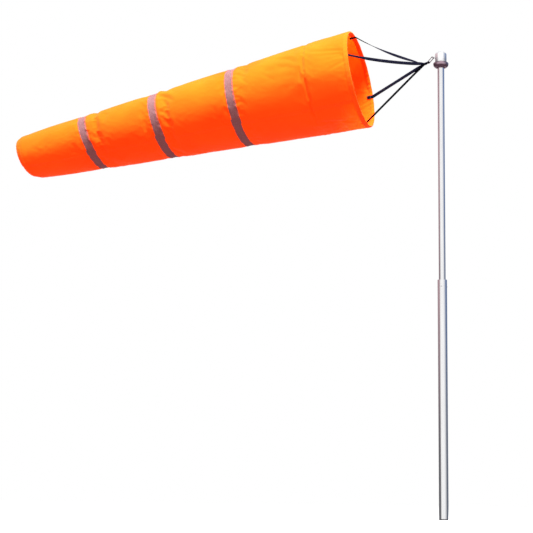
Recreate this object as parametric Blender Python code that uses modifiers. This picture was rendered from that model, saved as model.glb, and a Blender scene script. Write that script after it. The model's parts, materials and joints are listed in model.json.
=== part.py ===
"""Windsock on a two-stage telescopic pole, modelled in metres with +Z up.

The pole stands on the origin. The sock lies in the XZ plane and streams towards -X.
The head cap turns on a ball bearing, a snap link hangs from its eye, and four webbing
straps run from the link to the hoop in the mouth. The fabric cone is made in four
lengths, hinged at their top edges, so that it can droop as the wind drops.
"""

from math import cos, pi, radians, sin, tan

import bmesh
import bpy
from mathutils import Matrix, Vector

# ---------------------------------------------------------------- driving dimensions
GAP = 0.0003                    # left between pieces that touch
ROUND = 48                      # sides of a turned piece of the sock
SMALL_ROUND = 32                # sides of a turned piece of the mast and the head

LOWER_TUBE_RADIUS = 0.0125
LOWER_TUBE_WALL = 0.0015
UPPER_TUBE_RADIUS = 0.009
UPPER_TUBE_WALL = 0.001
JOINT_HEIGHT = 0.625            # top of the lower tube
TUBE_OVERLAP = 0.100            # of the upper tube inside the lower one
FOOT_FLANGE = 0.0025
PLUG_DEPTH = 0.022

LOCK_SCREW_RADIUS = 0.002
LOCK_SCREW_DROP = 0.0185        # below the top of the lower tube
LOCK_SCREW_HEAD = LOWER_TUBE_RADIUS + 0.0004
HEX_SOCKET_RADIUS = 0.0011
HEX_SOCKET_FLOOR = 0.0114
CUTTER_REACH = 0.0140           # from the pole's axis to the outer end of the screws' cutters
GUIDE_BUSH_HEIGHT = 0.030
SLIDE_COLLAR_HEIGHT = 0.025

COLLAR_RADIUS = 0.0205
COLLAR_TOP = 1.2172
COLLAR_HEIGHT = 0.0135
TUBE_TOP = 1.2117
SHAFT_RADIUS = 0.004
SHAFT_TOP = 1.2374
SPINDLE_PLUG = 0.030            # length of the spindle inside the tube
NUT_RADIUS = 0.0075
BEARING_BOTTOM = 1.2229
BEARING_HEIGHT = 0.007
BEARING_RADIUS = 0.01085
INNER_RACE_RADIUS = 0.0062
OUTER_RACE_BORE = 0.0089
BALL_RADIUS = 0.0012
BALLS = 7
CAP_RADIUS = 0.0153
CAP_BOTTOM = 1.2178
CAP_SHOULDER = 1.2395
CAP_TOP = 1.2470
CAP_BORE = BEARING_RADIUS + GAP
CAP_ROOM = 0.0010               # between the end of the shaft and the inside of the cap
GROOVE_RADIUS = 0.0120          # of the circlip's groove

EYE_BAR = Vector((-0.0225, 0.0, 1.2328))        # the far bar of the eye, where the link turns
EYE_WIRE = 0.0011
EYE_HALF_WIDTH = 0.0045
LINK_TURN = radians(48.0)       # of the link below the horizontal
LINK_WIRE = 0.0011
LINK_HALF_WIDTH = 0.0040
LINK_SPAN = 0.0155              # between the centres of the link's round ends
GATE_LENGTH = 0.0085

GATHER = Vector((-0.0446, 0.0, 1.2167))         # where the four straps meet
STRAP_REACH = 0.1789            # from there to the plane of the mouth
STRAP_WIDTH = 0.010
STRAP_THICKNESS = 0.0012
STRAP_TURN = radians(7.0)       # of the four straps round the mouth, from straight up
STRAP_SAGS = {"strap_top": 0.007, "strap_far": 0.0, "strap_bottom": 0.0, "strap_near": 0.010}
NEAR_STRAP_TURN = radians(8.0)  # the near strap is sewn this much higher than a quarter turn

SOCK_LENGTH = 1.0
MOUTH_RADIUS = 0.1335
TAIL_RADIUS = 0.0652
SOCK_DROOP = radians(9.3)       # of its axis below the horizontal
TAIL_RAKE = radians(19.0)       # the tail's upper edge reaches further than its lower one
FABRIC = 0.0008
PANEL_CLEARANCES = (0.0, 0.0010, 0.0022, 0.0040)    # of a panel's front, inside the one before
BAND_CENTRES = (0.3465, 0.5790, 0.7970)
BAND_WIDTH = 0.025
BAND_THICKNESS = 0.0005
HOOP_RADIUS = 0.1310
HOOP_WIRE = 0.0015
HEM_LENGTH = 0.0105
HEM_INNER = 0.1279
TAIL_HEM_LENGTH = 0.012
TAIL_HEM_THICKNESS = 0.0016
TAIL_CURL = 0.0040              # how far the end of the tail turns in

# ---------------------------------------------------------------- start from nothing
for old in list(bpy.data.objects):
    bpy.data.objects.remove(old, do_unlink=True)

PARTS = bpy.data.collections.new("windsock_with_pole")
CUTTERS = bpy.data.collections.new("cutters")
for group in (PARTS, CUTTERS):
    bpy.context.scene.collection.children.link(group)


# ---------------------------------------------------------------- materials
def material(name, colour, roughness, metallic=0.0):
    made = bpy.data.materials.new(name)
    made.use_nodes = True
    shader = made.node_tree.nodes["Principled BSDF"]
    shader.inputs["Base Color"].default_value = (*colour, 1.0)
    shader.inputs["Roughness"].default_value = roughness
    shader.inputs["Metallic"].default_value = metallic
    made.diffuse_color = (*colour, 1.0)
    return made


STEEL = material("stainless_tube", (0.78, 0.78, 0.80), 0.22, 1.0)
POLISHED = material("polished_cap", (0.90, 0.90, 0.92), 0.10, 1.0)
COLLAR = material("dark_collar", (0.20, 0.15, 0.19), 0.25, 1.0)
LINK = material("link_metal", (0.62, 0.50, 0.50), 0.35, 1.0)
BEARING = material("bearing_steel", (0.60, 0.60, 0.62), 0.20, 1.0)
PLASTIC = material("black_plastic", (0.03, 0.03, 0.035), 0.55)
FABRIC_ORANGE = material("orange_fabric", (1.0, 0.16, 0.01), 0.60)
REFLECTIVE = material("reflective_tape", (0.36, 0.19, 0.21), 0.40)
WEBBING = material("black_webbing", (0.012, 0.012, 0.022), 0.80)


# ---------------------------------------------------------------- tools
def finished(name, mesh, look, group=PARTS, sharp=35.0):
    """An object from a mesh, shaded smooth up to its sharp edges."""
    piece = bpy.data.objects.new(name, mesh)
    group.objects.link(piece)
    mesh.shade_smooth()
    mesh.set_sharp_from_angle(angle=radians(sharp))
    if look is not None:
        mesh.materials.append(look)
    return piece


def mesh_from(name, shape):
    """Closes a bmesh up, turns its faces outwards and gives it as a mesh."""
    bmesh.ops.remove_doubles(shape, verts=shape.verts, dist=1e-6)
    bmesh.ops.recalc_face_normals(shape, faces=shape.faces)
    mesh = bpy.data.meshes.new(name)
    shape.to_mesh(mesh)
    shape.free()
    return mesh


def turned(name, profile, look, steps=SMALL_ROUND, group=PARTS):
    """Turns a closed profile of (radius, height) once round Z."""
    shape = bmesh.new()
    corners = [shape.verts.new((r, 0.0, z)) for r, z in profile]
    edges = [
        shape.edges.new((a, b))
        for a, b in zip(corners, corners[1:] + corners[:1])
        if a.co.x > 1e-9 or b.co.x > 1e-9
    ]
    bmesh.ops.spin(
        shape, geom=corners + edges, cent=(0, 0, 0), axis=(0, 0, 1),
        angle=2 * pi, steps=steps, use_merge=True,
    )
    return finished(name, mesh_from(name, shape), look, group)


def ring(name, inner, outer, low, high, look, steps=SMALL_ROUND, group=PARTS):
    profile = [(inner, low), (outer, low), (outer, high), (inner, high)]
    return turned(name, profile, look, steps, group)


def cut(piece, cutter, operation="DIFFERENCE"):
    """Adds a Boolean to piece and hides the cutter."""
    boolean = piece.modifiers.new(cutter.name, "BOOLEAN")
    boolean.operation = operation
    boolean.object = cutter
    cutter.hide_render = True
    cutter.display_type = "WIRE"


def prism(name, radius, low, high, look, sides=24, group=PARTS):
    """A prism or cylinder along Z, from low to high."""
    shape = bmesh.new()
    bmesh.ops.create_cone(
        shape, cap_ends=True, segments=sides, radius1=radius, radius2=radius,
        depth=high - low, matrix=Matrix.Translation((0, 0, (low + high) / 2)),
    )
    return finished(name, mesh_from(name, shape), look, group)


def across(name, radius, start, end, axis, height, look=None, sides=24, group=CUTTERS):
    """A cylinder along a horizontal axis through the pole, from start to end along it."""
    piece = prism(name, radius, start, end, look, sides, group)
    piece.rotation_mode = "QUATERNION"
    piece.rotation_quaternion = Vector((0, 0, 1)).rotation_difference(axis)
    piece.location.z = height
    return piece


def wire(name, points, radius, look, cyclic=False):
    """A round wire along points, as one closed mesh."""
    curve = bpy.data.curves.new(name, "CURVE")
    curve.dimensions = "3D"
    curve.bevel_depth = radius
    curve.bevel_resolution = 2
    curve.use_fill_caps = not cyclic
    spline = curve.splines.new("POLY")
    spline.points.add(len(points) - 1)
    for knot, place in zip(spline.points, points):
        knot.co = (*place, 1.0)
    spline.use_cyclic_u = cyclic
    drawn = bpy.data.objects.new(name + "_curve", curve)
    PARTS.objects.link(drawn)
    view = bpy.context.evaluated_depsgraph_get()
    mesh = bpy.data.meshes.new_from_object(drawn.evaluated_get(view))
    bpy.data.objects.remove(drawn, do_unlink=True)
    shape = bmesh.new()
    shape.from_mesh(mesh)
    bpy.data.meshes.remove(mesh)
    piece = finished(name, mesh_from(name, shape), None)
    piece.data.materials.clear()
    piece.data.materials.append(look)
    return piece


def pivot(name, place, parent=None):
    """An empty on a joint's axis, which the pieces of the moving body hang from."""
    empty = bpy.data.objects.new("pivot_" + name, None)
    empty.empty_display_size = 0.02
    PARTS.objects.link(empty)
    empty.matrix_world = Matrix.Translation(place)
    if parent is not None:
        attach(empty, parent)
    return empty


def attach(piece, parent):
    """Parents piece to an empty and leaves it where it is."""
    bpy.context.view_layer.update()
    place = piece.matrix_world.copy()
    piece.parent = parent
    piece.matrix_parent_inverse = parent.matrix_world.inverted()
    piece.matrix_world = place


# ---------------------------------------------------------------- the mast
def lower_mast():
    bore = LOWER_TUBE_RADIUS - LOWER_TUBE_WALL
    tube = ring(
        "lower_tube", bore, LOWER_TUBE_RADIUS, FOOT_FLANGE + GAP, JOINT_HEIGHT, STEEL,
    )
    stem = bore - GAP
    turned("foot_plug", [
        (0.0, 0.0), (LOWER_TUBE_RADIUS, 0.0), (LOWER_TUBE_RADIUS, FOOT_FLANGE),
        (stem, FOOT_FLANGE), (stem, PLUG_DEPTH - 0.002), (stem - 0.002, PLUG_DEPTH),
        (0.0, PLUG_DEPTH),
    ], PLASTIC)
    bush = ring(
        "guide_bush", UPPER_TUBE_RADIUS + GAP, stem, JOINT_HEIGHT - GUIDE_BUSH_HEIGHT,
        JOINT_HEIGHT - 0.0005, PLASTIC,
    )
    height = JOINT_HEIGHT - LOCK_SCREW_DROP
    for name, axis in (("front", Vector((0, -1, 0))), ("side", Vector((1, 0, 0)))):
        hole = across(
            "lock_hole_" + name, LOCK_SCREW_RADIUS + GAP, UPPER_TUBE_RADIUS - GAP,
            CUTTER_REACH, axis, height,
        )
        cut(tube, hole)
        cut(bush, hole)
        screw = across(
            "lock_screw_" + name, LOCK_SCREW_RADIUS, UPPER_TUBE_RADIUS + GAP,
            LOCK_SCREW_HEAD, axis, height, BEARING, group=PARTS,
        )
        socket = across(
            "hex_socket_" + name, HEX_SOCKET_RADIUS, HEX_SOCKET_FLOOR, CUTTER_REACH, axis,
            height, sides=6,
        )
        cut(screw, socket)


def upper_mast(slide):
    bore = UPPER_TUBE_RADIUS - UPPER_TUBE_WALL
    low = JOINT_HEIGHT - TUBE_OVERLAP
    tube = ring("upper_tube", bore, UPPER_TUBE_RADIUS, low, TUBE_TOP, STEEL)
    stop = ring(
        "slide_collar", UPPER_TUBE_RADIUS + GAP, LOWER_TUBE_RADIUS - LOWER_TUBE_WALL - GAP,
        low, low + SLIDE_COLLAR_HEIGHT, PLASTIC,
    )
    shaft_hole = SHAFT_RADIUS + GAP
    bottom = COLLAR_TOP - COLLAR_HEIGHT
    collar = turned("mast_collar", [
        (UPPER_TUBE_RADIUS + GAP, bottom + 0.0038), (0.0110, bottom + 0.0016),
        (0.0130, bottom + 0.0003), (0.0148, bottom), (0.0170, bottom + 0.0010),
        (0.0190, bottom + 0.0034), (0.0201, bottom + 0.0062), (COLLAR_RADIUS, bottom + 0.0085),
        (COLLAR_RADIUS, bottom + 0.0100), (0.0199, COLLAR_TOP - 0.0018),
        (0.0185, COLLAR_TOP - 0.0004), (0.0172, COLLAR_TOP), (shaft_hole, COLLAR_TOP),
        (shaft_hole, TUBE_TOP + GAP), (UPPER_TUBE_RADIUS + GAP, TUBE_TOP + GAP),
    ], COLLAR)
    plug = bore - GAP
    foot = TUBE_TOP - SPINDLE_PLUG
    spindle = turned("head_spindle", [
        (0.0, foot), (plug - 0.001, foot), (plug, foot + 0.001), (plug, TUBE_TOP - GAP),
        (SHAFT_RADIUS, TUBE_TOP - GAP), (SHAFT_RADIUS, SHAFT_TOP - 0.0006),
        (SHAFT_RADIUS - 0.0006, SHAFT_TOP),
        (0.0, SHAFT_TOP),
    ], BEARING)
    top = BEARING_BOTTOM + BEARING_HEIGHT
    spacer = ring(
        "bearing_spacer", shaft_hole, 0.0060, COLLAR_TOP + GAP, BEARING_BOTTOM - GAP, BEARING,
    )
    race = ring(
        "bearing_inner_race", shaft_hole, INNER_RACE_RADIUS, BEARING_BOTTOM, top, BEARING,
    )
    washer = ring("spindle_washer", shaft_hole, 0.0070, top + GAP, top + 0.0015, BEARING)
    nut_low = top + 0.0018
    nut = prism("spindle_nut", NUT_RADIUS, nut_low, SHAFT_TOP - 0.0012, BEARING, sides=6)
    cut(nut, prism("nut_bore", shaft_hole, top, SHAFT_TOP + 0.002, None, group=CUTTERS))
    for piece in (tube, stop, collar, spindle, spacer, race, washer, nut):
        attach(piece, slide)


# ---------------------------------------------------------------- the turning head
def ball_cage(turn):
    """A ring with its balls in it, as one solid that turns with the cap."""
    middle = BEARING_BOTTOM + BEARING_HEIGHT / 2
    track = (INNER_RACE_RADIUS + OUTER_RACE_BORE) / 2
    cage = ring(
        "bearing_ball_cage", track - 0.0004, track + 0.0004, middle - 0.0008, middle + 0.0008,
        BEARING,
    )
    for index in range(BALLS):
        place = 2 * pi * index / BALLS
        shape = bmesh.new()
        bmesh.ops.create_uvsphere(
            shape, u_segments=12, v_segments=7, radius=BALL_RADIUS,
            matrix=Matrix.Translation((track * cos(place), track * sin(place), middle)),
        )
        name = "ball_{}".format(index + 1)
        cut(cage, finished(name, mesh_from(name, shape), None, CUTTERS), "UNION")
    attach(cage, turn)


def rotor(turn):
    top = BEARING_BOTTOM + BEARING_HEIGHT
    race = ring(
        "bearing_outer_race", OUTER_RACE_BORE, BEARING_RADIUS, BEARING_BOTTOM, top, BEARING,
    )
    groove_low = BEARING_BOTTOM - 0.0017
    groove_high = BEARING_BOTTOM - GAP
    cap = turned("head_cap", [
        (CAP_BORE, CAP_BOTTOM), (CAP_RADIUS - 0.0005, CAP_BOTTOM),
        (CAP_RADIUS, CAP_BOTTOM + 0.0005), (CAP_RADIUS, CAP_SHOULDER),
        *[
            (CAP_RADIUS * cos(step) ** 0.75, CAP_SHOULDER + (CAP_TOP - CAP_SHOULDER) * sin(step))
            for step in [radians(12 * number) for number in range(1, 7)]
        ],
        (0.0022, CAP_TOP - 0.0001), (0.0, CAP_TOP), (0.0, SHAFT_TOP + CAP_ROOM),
        (0.0094, SHAFT_TOP + CAP_ROOM), (0.0094, top + GAP), (CAP_BORE, top + GAP),
        (CAP_BORE, groove_high), (GROOVE_RADIUS, groove_high), (GROOVE_RADIUS, groove_low),
        (CAP_BORE, groove_low),
    ], POLISHED)
    clip = ring(
        "bearing_circlip", OUTER_RACE_BORE + 0.0006, GROOVE_RADIUS - GAP,
        groove_low + 0.0002, groove_high - 0.0002, BEARING,
    )
    slit = prism("circlip_slit", 0.004, groove_low - 0.001, groove_high + 0.001, None,
                 sides=4, group=CUTTERS)
    slit.location.x = 0.0105
    cut(clip, slit)
    half = EYE_HALF_WIDTH
    back = -CAP_RADIUS + 0.0010
    corner = 0.0025
    bend = [
        Vector((EYE_BAR.x + corner - corner * cos(step), side * (half - corner + corner * sin(step)),
                EYE_BAR.z))
        for side, steps in ((1, (90, 60, 30, 0)), (-1, (0, 30, 60, 90)))
        for step in [radians(angle) for angle in steps]
    ]
    legs = [Vector((back, half, EYE_BAR.z)), *bend, Vector((back, -half, EYE_BAR.z))]
    eye = wire("tether_eye", legs, EYE_WIRE, POLISHED)
    keep_off = prism(
        "eye_feet_trim", CAP_RADIUS + GAP, EYE_BAR.z - 0.004, EYE_BAR.z + 0.004, None,
        sides=SMALL_ROUND, group=CUTTERS,
    )
    cut(eye, keep_off)
    for piece in (race, cap, clip, eye):
        attach(piece, turn)


# ---------------------------------------------------------------- the snap link
def link_frame():
    """X runs down the link from the eye's bar, Z across it in the XZ plane, Y as the world's."""
    down = Vector((-cos(LINK_TURN), 0.0, -sin(LINK_TURN)))
    side = Vector((0.0, 1.0, 0.0))
    over = down.cross(side)
    turn = Matrix((down, side, over)).transposed().to_4x4()
    return Matrix.Translation(EYE_BAR) @ turn


def snap_link(link_pivot, gate_pivot):
    """An oval of wire with a sprung gate in its upper side."""
    frame = link_frame()
    radius = LINK_HALF_WIDTH - LINK_WIRE
    centre = radius - LINK_WIRE - EYE_WIRE - GAP
    far = centre + LINK_SPAN
    middle = (centre + far) / 2
    gate_side = 1.0 if (frame.to_3x3() @ Vector((0, 0, 1))).z > 0 else -1.0
    opening = GATE_LENGTH / 2 + 0.0005
    top_end = [
        (centre - radius * sin(step), radius * cos(step) * gate_side)
        for step in [radians(22.5 * number) for number in range(9)]
    ]
    low_end = [
        (far + radius * sin(step), -radius * cos(step) * gate_side)
        for step in [radians(22.5 * number) for number in range(9)]
    ]
    path = [(middle - opening, radius * gate_side)] + top_end + low_end
    path.append((middle + opening, radius * gate_side))
    body = wire("snap_link", [frame @ Vector((x, 0, z)) for x, z in path], LINK_WIRE, LINK)
    ends = (middle - GATE_LENGTH / 2, middle + GATE_LENGTH / 2)
    gate = wire(
        "link_gate", [frame @ Vector((x, 0, radius * gate_side)) for x in ends],
        LINK_WIRE * 0.9, LINK,
    )
    gate_pivot.location = frame @ Vector((ends[1], 0, radius * gate_side))
    bpy.context.view_layer.update()
    attach(gate, gate_pivot)
    attach(body, link_pivot)
    return frame @ Vector((far, 0, 0))


# ---------------------------------------------------------------- the sock's own frame
SOCK_AXIS = Vector((-cos(SOCK_DROOP), 0.0, -sin(SOCK_DROOP)))
SOCK_UP = Vector((-sin(SOCK_DROOP), 0.0, cos(SOCK_DROOP)))
MOUTH_CENTRE = GATHER + STRAP_REACH * SOCK_AXIS
SOCK_FRAME = Matrix.Translation(MOUTH_CENTRE) @ Matrix(
    (SOCK_UP, Vector((0.0, 1.0, 0.0)), SOCK_AXIS)
).transposed().to_4x4()
BOUNDARIES = (HEM_LENGTH, *(centre + BAND_WIDTH / 2 for centre in BAND_CENTRES),
              SOCK_LENGTH - TAIL_HEM_LENGTH)


def sock_radius(along):
    """The cone's outer radius at a distance from the mouth."""
    return MOUTH_RADIUS + (TAIL_RADIUS - MOUTH_RADIUS) * along / SOCK_LENGTH


def rake(along):
    """How far the fabric's rings lean there: none at the mouth, most at the tail."""
    return TAIL_RAKE * (along / SOCK_LENGTH) ** 2


def sock_ring(name, profile, look):
    """Turns (radius, distance along) round the sock's axis, leans it and places it."""
    piece = turned(name, profile, look, ROUND)
    for corner in piece.data.vertices:
        corner.co.z += corner.co.x * tan(rake(corner.co.z))
    piece.matrix_world = SOCK_FRAME
    return piece


def panel(number, parent):
    start, end = BOUNDARIES[number - 1], BOUNDARIES[number]
    inset = 0.0 if number == 1 else FABRIC + PANEL_CLEARANCES[number - 1]
    front, rear = sock_radius(start) - inset, sock_radius(end) - inset * 0.25
    low = start + GAP
    high = end - GAP
    piece = sock_ring("sock_panel_{}".format(number), [
        (front - FABRIC, low), (front, low), (rear, high), (rear - FABRIC, high),
    ], FABRIC_ORANGE)
    attach(piece, parent)
    return front, rear


def band(number, panel_radii, parent):
    """Tape round the rear edge of a panel."""
    start, end = BOUNDARIES[number - 1], BOUNDARIES[number]
    front, rear = panel_radii
    low = end - BAND_WIDTH
    share = (low - start) / (end - start)
    first = front + (rear - front) * share + GAP
    last = rear + GAP
    piece = sock_ring("reflective_band_{}".format(number), [
        (first, low), (first + BAND_THICKNESS, low), (last + BAND_THICKNESS, end), (last, end),
    ], REFLECTIVE)
    attach(piece, parent)


def strap(name, turn, sag, parent):
    """A flat strap from the gather to the inside of the mouth, with its sewn end."""
    inner = HEM_INNER - GAP - STRAP_THICKNESS
    direction = Vector((cos(turn), sin(turn), 0.0))
    side = Vector((-sin(turn), cos(turn), 0.0))
    first = Vector((0, 0, -STRAP_REACH + 0.0100)) + direction * 0.0078
    rim = direction * inner + Vector((0, 0, -0.0005))
    sewn = direction * (inner - 0.0012) + Vector((0, 0, 0.0160))
    hang = SOCK_FRAME.to_3x3().inverted() @ Vector((0, 0, -1))
    runs = 10
    centres = [
        first.lerp(rim, step / runs) + hang * sag * 4 * (step / runs) * (1 - step / runs)
        for step in range(runs + 1)
    ] + [sewn]
    shape = bmesh.new()
    bmesh.ops.create_grid(shape, x_segments=len(centres) - 1, y_segments=1, size=0.5)
    for corner in shape.verts:
        step = round((corner.co.x + 0.5) * (len(centres) - 1))
        corner.co = centres[step] + side * STRAP_WIDTH * corner.co.y
    piece = finished(name, mesh_from(name, shape), WEBBING)
    piece.matrix_world = SOCK_FRAME
    thicken = piece.modifiers.new("thickness", "SOLIDIFY")
    thicken.thickness = STRAP_THICKNESS
    thicken.offset = 0.0
    attach(piece, parent)


def gather(harness, link_end):
    """The webbing loop round the link and the sewn bundle that the straps leave."""
    along = (GATHER - link_end).normalized()
    over = along.cross(Vector((0, 1, 0)))
    frame = Matrix.Translation(link_end) @ Matrix(
        (along, Vector((0, 1, 0)), over)
    ).transposed().to_4x4()
    length = (GATHER - link_end).length
    slot_length, slot_width, wall = 0.0060, 0.0034, 0.0014
    start = -wall / 2
    loop = finished("strap_gather", stadium(
        "strap_gather", start, length, slot_width / 2 + wall, 0.0012,
    ), WEBBING)
    hole = finished("gather_slot", stadium(
        "gather_slot", start + wall, start + wall + slot_length, slot_width / 2, 0.004,
    ), None, CUTTERS)
    loop.matrix_world = frame
    hole.matrix_world = frame
    cut(loop, hole)
    knot = turned("sewn_bundle", [
        (0.0, -STRAP_REACH - 0.0030), (0.0030, -STRAP_REACH - 0.0030),
        (0.0058, -STRAP_REACH + 0.0085), (0.0, -STRAP_REACH + 0.0085),
    ], None, steps=16, group=CUTTERS)
    knot.matrix_world = SOCK_FRAME
    cut(loop, knot, "UNION")
    attach(loop, harness)


def stadium(name, start, end, half_width, half_depth):
    """A slab with round ends, along X from start to end, half_width in Y and half_depth in Z."""
    shape = bmesh.new()
    left, right = start + half_width, end - half_width
    outline = [
        (right + half_width * sin(step), half_width * cos(step))
        for step in [radians(30 * number) for number in range(7)]
    ] + [
        (left - half_width * sin(step), -half_width * cos(step))
        for step in [radians(30 * number) for number in range(7)]
    ]
    face = shape.faces.new([shape.verts.new((x, y, -half_depth)) for x, y in outline])
    raised = bmesh.ops.extrude_face_region(shape, geom=[face])["geom"]
    bmesh.ops.translate(
        shape, vec=(0, 0, 2 * half_depth),
        verts=[item for item in raised if isinstance(item, bmesh.types.BMVert)],
    )
    return mesh_from(name, shape)


def mouth(harness):
    hoop = turned("mouth_hoop", [
        (HOOP_RADIUS + HOOP_WIRE * cos(step), 0.0026 + HOOP_WIRE * sin(step))
        for step in [radians(45 * number) for number in range(8)]
    ], BEARING, ROUND)
    hoop.matrix_world = SOCK_FRAME
    outer = MOUTH_RADIUS
    hem = sock_ring("mouth_hem", [
        (HEM_INNER, HEM_LENGTH), (HEM_INNER, 0.0006), (HEM_INNER + 0.0006, 0.0),
        (outer - 0.0006, 0.0), (outer, 0.0006), (outer, HEM_LENGTH),
        (outer - FABRIC, HEM_LENGTH), (outer - FABRIC, FABRIC), (HEM_INNER + FABRIC, FABRIC),
        (HEM_INNER + FABRIC, HEM_LENGTH),
    ], FABRIC_ORANGE)
    for piece in (hoop, hem):
        attach(piece, harness)


def tail_hem(parent):
    start = BOUNDARIES[-1]
    front, end = sock_radius(start), TAIL_RADIUS - TAIL_CURL
    piece = sock_ring("tail_hem", [
        (front - TAIL_HEM_THICKNESS, start + GAP), (front, start + GAP),
        (end, SOCK_LENGTH), (end - TAIL_HEM_THICKNESS, SOCK_LENGTH),
    ], FABRIC_ORANGE)
    attach(piece, parent)


# ---------------------------------------------------------------- assembly
slide = pivot("mast_slide", (0, 0, JOINT_HEIGHT))
head = pivot("rotor_spin", (0, 0, CAP_BOTTOM), slide)
link_turn = pivot("link_pitch", EYE_BAR, head)
gate_turn = pivot("gate_swing", EYE_BAR, link_turn)

lower_mast()
upper_mast(slide)
ball_cage(head)
rotor(head)
gather_point = snap_link(link_turn, gate_turn)
harness_turn = pivot("harness_pitch", gather_point, link_turn)
gather(harness_turn, gather_point)
for order, (strap_name, strap_sag) in enumerate(STRAP_SAGS.items()):
    strap_turn = STRAP_TURN + order * pi / 2
    if strap_name == "strap_near":
        strap_turn += NEAR_STRAP_TURN
    strap(strap_name, strap_turn, strap_sag, harness_turn)
mouth(harness_turn)

carrier = harness_turn
for count in range(1, len(BOUNDARIES)):
    if count > 1:
        edge = BOUNDARIES[count - 1]
        crown = sock_radius(edge) - FABRIC - PANEL_CLEARANCES[count - 1]
        hinge = SOCK_FRAME @ Vector((crown, 0, edge + GAP + crown * tan(rake(edge))))
        carrier = pivot("bend_{}".format(count - 1), hinge, carrier)
    radii = panel(count, carrier)
    if count <= len(BAND_CENTRES):
        band(count, radii, carrier)
tail_hem(carrier)
bpy.context.view_layer.update()
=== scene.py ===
"""Looks of the windsock with pole: cloth, tape, webbing, stitching, metal, light and camera.

Everything is in metres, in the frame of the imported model. A place on the sock is given by its
distance along the sock from the mouth, and its angle round it from straight up towards +Y.
"""

import json
from math import cos, pi, radians, sin

import bmesh
import bpy
import numpy as np
from mathutils import Matrix, Vector

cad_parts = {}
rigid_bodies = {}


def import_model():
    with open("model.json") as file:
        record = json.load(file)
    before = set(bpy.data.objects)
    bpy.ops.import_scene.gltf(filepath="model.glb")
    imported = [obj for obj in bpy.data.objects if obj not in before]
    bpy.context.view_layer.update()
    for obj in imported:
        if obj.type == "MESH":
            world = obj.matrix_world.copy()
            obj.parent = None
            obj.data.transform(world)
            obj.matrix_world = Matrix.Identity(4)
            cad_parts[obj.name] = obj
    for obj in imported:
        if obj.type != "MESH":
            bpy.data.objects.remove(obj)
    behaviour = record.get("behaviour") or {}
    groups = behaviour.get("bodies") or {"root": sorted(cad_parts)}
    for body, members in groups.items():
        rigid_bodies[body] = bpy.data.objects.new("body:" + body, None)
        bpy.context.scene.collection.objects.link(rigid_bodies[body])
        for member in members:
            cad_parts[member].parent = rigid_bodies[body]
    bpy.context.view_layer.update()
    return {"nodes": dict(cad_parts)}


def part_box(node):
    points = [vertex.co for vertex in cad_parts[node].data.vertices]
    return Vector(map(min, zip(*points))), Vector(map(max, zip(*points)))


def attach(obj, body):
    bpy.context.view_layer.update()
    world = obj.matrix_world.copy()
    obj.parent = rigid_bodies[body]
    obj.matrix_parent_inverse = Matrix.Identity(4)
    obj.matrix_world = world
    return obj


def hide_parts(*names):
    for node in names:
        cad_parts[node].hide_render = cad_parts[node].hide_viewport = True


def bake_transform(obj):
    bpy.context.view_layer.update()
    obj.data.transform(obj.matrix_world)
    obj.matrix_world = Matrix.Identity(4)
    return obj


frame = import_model()
scene = bpy.context.scene

# ----- driving dimensions
TAIL_RAKE = radians(19.0)       # the rings of the sock lean by this much at the tail
SOCK_LENGTH = 1.0
HOOP_DEPTH = 0.0026             # of the hoop's centre behind the mouth's edge
HEM_DEPTH = 0.0105              # of the mouth's hem
TAIL_HEM = 0.012
TAIL_BULGE = 0.017              # how much further the near side of the tail reaches
TAIL_UPRIGHT = 0.19             # how much of the lean (as a slope) is lost at the very end
BAND_WIDTH = 0.025
CLOTH = 0.0004                  # thickness of the sock's cloth
TAPE = 0.0004                   # thickness of the reflective tape
SEAM_ANGLE = radians(-131.0)    # of the seam along the sock, low on the near side
TAPE_LAP = radians(9.0)         # overlap of the ends of a tape

STRAP_REACH = 0.1789            # from the gather of the straps to the plane of the mouth
STRAP_WIDTH = 0.010
STRAP_THICKNESS = 0.0012
STRAP_SEWN = 0.017              # length of a strap's end sewn inside the mouth
STRAP_STEPS = 84
# name, degrees round the mouth, sag, and the most that it twists, where and over how much of it
STRAPS = (
    ("top", 7.0, 0.007, 58.0, 0.40, 0.26), ("far", 97.0, 0.0, 6.0, 0.5, 0.3),
    ("bottom", 187.0, 0.0, -5.0, 0.45, 0.40), ("near", 285.0, 0.0045, 24.0, 0.84, 0.12),
)

ROWS, COLUMNS = 201, 180        # of the sock's master surface
CLOTH_COLUMNS = 216             # of a length of cloth
WIND_FRAMES = 18
WIND_PRESSURE = 0.5
CLOTH_SPARE = 0.012             # share by which the cloth is longer than its plain shape
CLOTH_CAP = 0.007               # the furthest that the wind may move it
SEAM_STITCH = 0.0034            # length of a stitch
STITCH_STEP = 0.0048
THREAD = 0.00028                # its radius
SEAM_HALF = 0.0045              # half the width of the seam along the sock

LINK_AIM = radians(48.0)        # of the link, down from level
LINK_SPAN = 0.0155              # between the centres of its two bends
LINK_FIRST = 0.0004             # from the eye's bar to the centre of the upper bend
LINK_BEND = 0.0029
WIRE = 0.0011                   # radius of the wire of the eye and the link
GATE_WIRE = 0.00099
GATE_HALF = 0.00425             # half the gate's length
EYE_CORNER = 0.0025
TUBE_EDGE = 0.0004              # rounding of the ends of the tubes

SKY = Vector((0.0, 0.0, 1.0))
CAMERA_PLACE = Vector((0.738, -3.867, 0.04))
CAMERA_YAW, CAMERA_PITCH, CAMERA_ROLL = 0.3066, 0.1561, 0.0119
CAMERA_LENS = 101.3
FLOOR_SIZE = 60.0
SOFTBOX_PLACE = Vector((-0.10, -1.3, 4.3))
SOFTBOX_AIM = Vector((-0.55, 0.0, 1.15))
SOFTBOX_SIZE = 1.3
SOFTBOX_POWER = 1120.0

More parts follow.
